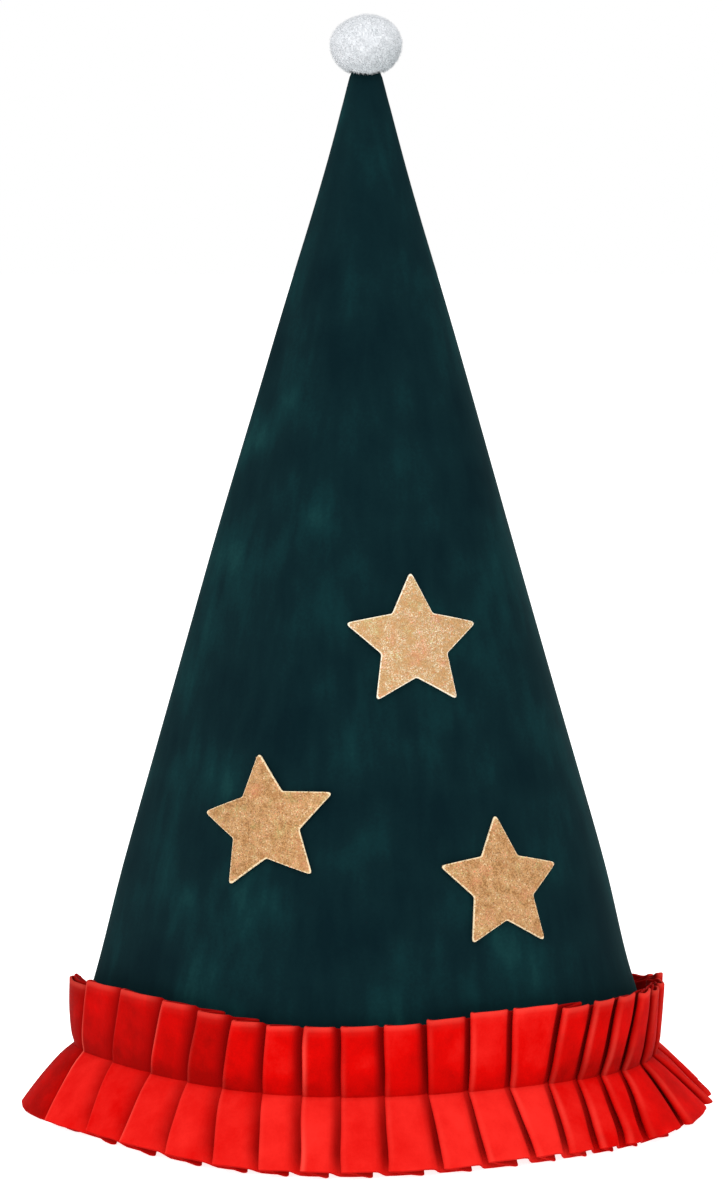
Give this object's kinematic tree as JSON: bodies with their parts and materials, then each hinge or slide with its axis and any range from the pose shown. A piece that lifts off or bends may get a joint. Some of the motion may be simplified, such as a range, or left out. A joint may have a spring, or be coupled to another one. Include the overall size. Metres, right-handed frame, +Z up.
{
  "type": "elf hat",
  "caption": "Tall pointed velvet dress-up hat with a pleated ruffle round the rim, glitter stars on the front and a pompom at the tip.",
  "frame": {"origin": "centre of the bounding box's base, on the floor under the hat, in the plane of the ruffle's hem", "axes": "+Z up along the crown to its tip, -Y to the front with the stars, +X to the right as seen from the front"},
  "size_m": [0.2486, 0.2028, 0.387],
  "materials": {
    "crown_velvet": "deep teal green short-pile velvet, matt with a faint sheen",
    "ruffle_velvet": "bright red short-pile velvet, pressed in pleats",
    "star_glitter": "pale gold glitter cloth, fine grained sparkle",
    "pompom_yarn": "white fluffy yarn, matt"
  },
  "bodies": {
    "root": {"crown": "crown_velvet", "ruffle": "ruffle_velvet", "star_upper": "star_glitter", "star_left": "star_glitter", "star_right": "star_glitter", "pompom": "pompom_yarn"}
  },
  "joints": []
}
